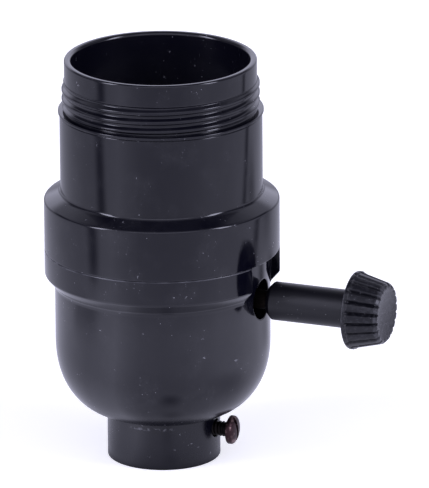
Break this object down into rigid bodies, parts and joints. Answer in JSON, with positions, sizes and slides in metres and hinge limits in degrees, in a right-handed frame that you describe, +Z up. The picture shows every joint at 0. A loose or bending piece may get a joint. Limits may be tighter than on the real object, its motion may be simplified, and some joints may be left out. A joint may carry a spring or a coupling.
{
  "type": "turn-knob lamp socket",
  "caption": "Black moulded lamp socket with a ribbed turn knob on a long stem, an outside shade-ring thread, a domed cap and a threaded neck with a set screw.",
  "frame": {"origin": "centre of the pipe thread at the bottom face of the neck", "axes": "+Z up along the socket's axis towards the lamp; +X from the socket's axis out along the knob's stem"},
  "size_m": [0.0604, 0.0396, 0.0698],
  "materials": {
    "black_phenolic": "glossy moulded",
    "knob_phenolic": "satin moulded",
    "base_phenolic": "dull moulded",
    "brass": "bright stamped",
    "plated_brass": "nickel plated",
    "aluminium": "rolled sheet",
    "steel": "zinc plated",
    "bronzed_steel": "dark bronzed",
    "fibre": "pressed fibre"
  },
  "bodies": {
    "casing": {"outer_shell": "black_phenolic", "cap": "black_phenolic", "neck_bushing": "brass", "screw_shell": "aluminium", "shell_rivets": "brass", "centre_rivet": "brass", "switch_base": "base_phenolic", "centre_strap": "brass", "line_terminal": "brass", "line_screw": "brass", "neutral_terminal": "plated_brass", "neutral_screw": "plated_brass", "detent_spring": "steel", "switch_cover": "fibre", "cover_rivets": "brass", "case_screws": "steel", "case_inserts": "brass"},
    "knob_and_rotor": {"knob": "knob_phenolic", "knob_insert": "brass", "switch_shaft": "brass", "rotor": "fibre", "rotor_contact": "brass", "shaft_washer": "steel", "shaft_clip": "steel"},
    "set_screw": {"set_screw": "bronzed_steel"},
    "centre_contact": {"centre_contact": "brass"}
  },
  "joints": [
    {"name": "knob_turn", "type": "hinge", "parent": "casing", "child": "knob_and_rotor", "pos_m": [0, 0, 0.0294], "axis": [1, 0, 0], "continuous": true, "deforming": ["detent_spring"]},
    {"name": "set_screw_travel", "type": "slide", "parent": "casing", "child": "set_screw", "axis": [-1, 0, 0], "range_m": [0, 0.0023]},
    {"name": "centre_contact_press", "type": "slide", "parent": "casing", "child": "centre_contact", "axis": [0, 0, -1], "range_m": [0, 0.0012], "stiffness_N_per_m": 4000, "deforming": ["centre_contact"]}
  ]
}
